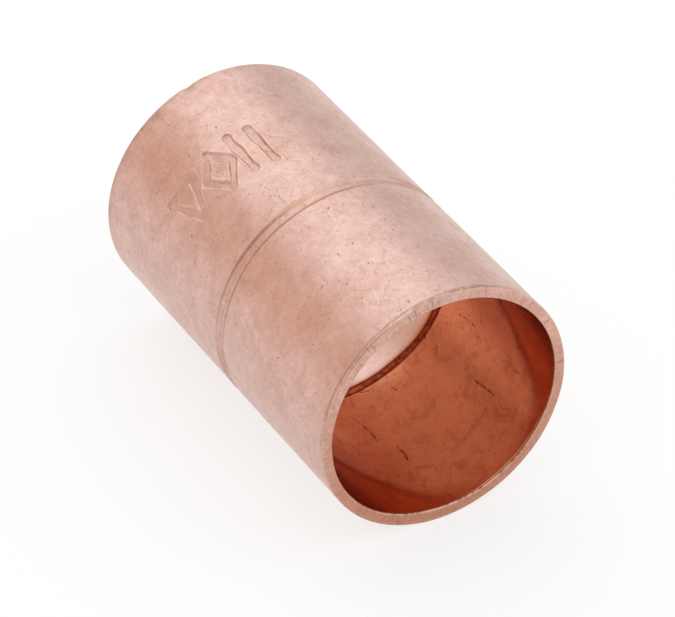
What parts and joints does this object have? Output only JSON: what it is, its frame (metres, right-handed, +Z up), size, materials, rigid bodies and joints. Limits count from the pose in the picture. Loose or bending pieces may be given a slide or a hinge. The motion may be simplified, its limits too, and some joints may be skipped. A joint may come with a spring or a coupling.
{
  "type": "tube coupling",
  "caption": "Straight copper solder coupling: a short tube sleeve with a socket at each end and a rolled-in groove that stops the tubes inside.",
  "frame": {"origin": "on the bore's axis at mid-length", "axes": "+X along the bore towards the end that the rolled stop is nearer to, +Z up with the coupling lying on its side"},
  "size_m": [0.04, 0.0242, 0.0242],
  "materials": {
    "drawn_copper": "satin, tumbled and faintly pitted copper"
  },
  "bodies": {
    "root": {"coupling_body": "drawn_copper"}
  },
  "joints": []
}
